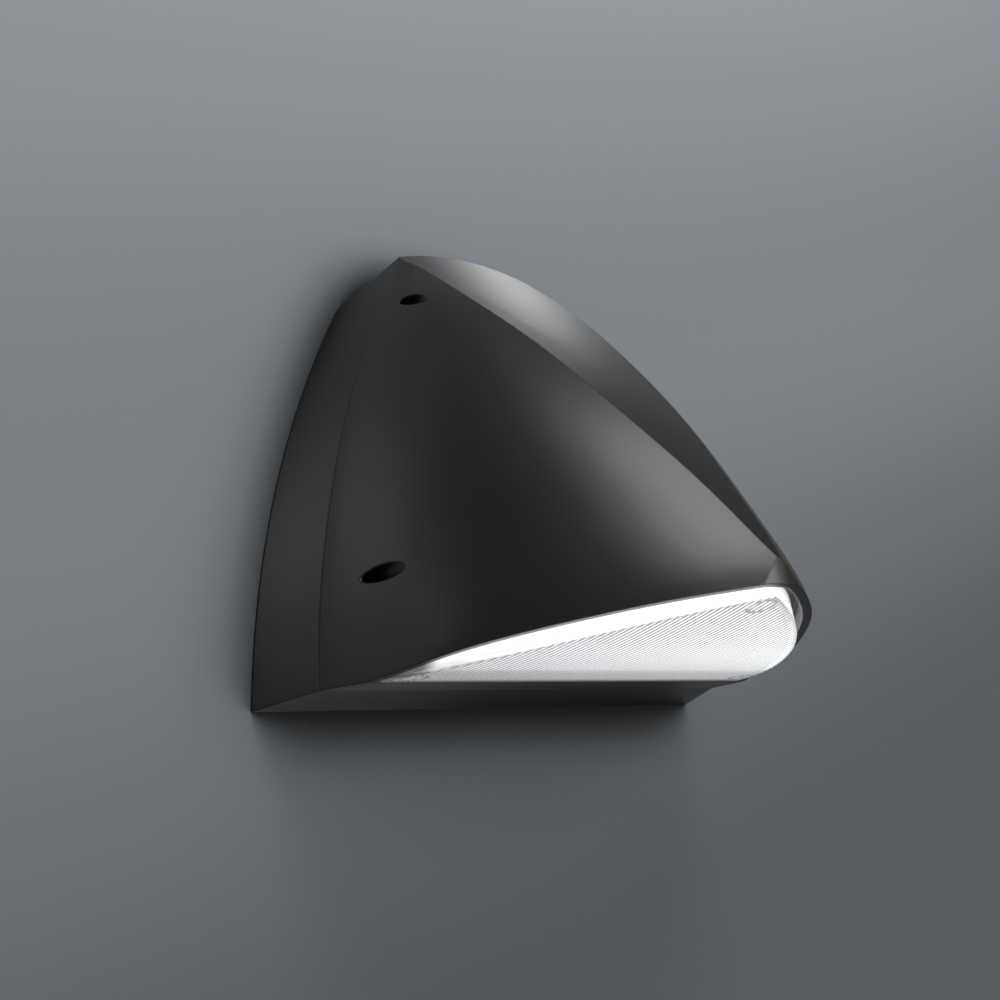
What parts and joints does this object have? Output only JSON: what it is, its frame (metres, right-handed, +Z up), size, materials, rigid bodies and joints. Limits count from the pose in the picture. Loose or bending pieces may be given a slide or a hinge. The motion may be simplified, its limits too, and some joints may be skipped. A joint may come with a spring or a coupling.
{
  "type": "outdoor wall light",
  "caption": "Wedge-shaped outdoor wall light with a faceted dark hood that comes off a cast base, and a clear ribbed lens facing down.",
  "frame": {"origin": "centre of the four wall fixings, on the wall face", "axes": "+Y into the wall, +Z up, +X to the right as seen from the front"},
  "size_m": [0.2, 0.15, 0.1831],
  "materials": {
    "cast_housing": "satin charcoal powder coat",
    "black_seal": "matt black silicone",
    "white_seal": "matt white silicone",
    "white_plastic": "matt white nylon",
    "zinc_steel": "zinc plated",
    "black_steel": "blackened steel",
    "green_wire": "green insulation",
    "grey_wire": "grey insulation",
    "red_wire": "red insulation",
    "driver_plastic": "matt white plastic",
    "circuit_board": "green board with dark parts",
    "aluminium_plate": "plain aluminium",
    "white_board": "white solder mask",
    "emitter": "yellow phosphor",
    "white_reflector": "gloss white",
    "clear_lens": "clear ribbed polycarbonate"
  },
  "bodies": {
    "base": {"back_housing": "cast_housing", "wall_gasket": "black_seal", "hood_gasket": "black_seal", "shelf_gasket": "black_seal", "cable_grommet": "black_seal", "cable_clamp": "white_plastic", "clamp_screws": "zinc_steel", "terminal_block": "white_plastic", "terminal_screws": "zinc_steel", "earth_washer": "zinc_steel", "earth_screw": "zinc_steel", "earth_lead": "green_wire", "supply_leads": "grey_wire", "led_leads": "red_wire", "driver_case": "driver_plastic", "driver_lid": "driver_plastic", "driver_board": "circuit_board", "driver_screws": "zinc_steel", "heat_sink_bracket": "aluminium_plate", "bracket_screws": "zinc_steel", "led_board": "white_board", "led_chips": "emitter", "reflector": "white_reflector", "board_screws": "zinc_steel"},
    "hood_unit": {"hood": "cast_housing", "hood_screws": "black_steel", "screw_retainers": "white_plastic", "lens": "clear_lens", "lens_gasket": "white_seal", "lens_screws": "zinc_steel"}
  },
  "joints": [
    {"name": "hood_removal", "type": "slide", "parent": "base", "child": "hood_unit", "axis": [0, -1, 0], "range_m": [0, 0.16]}
  ]
}
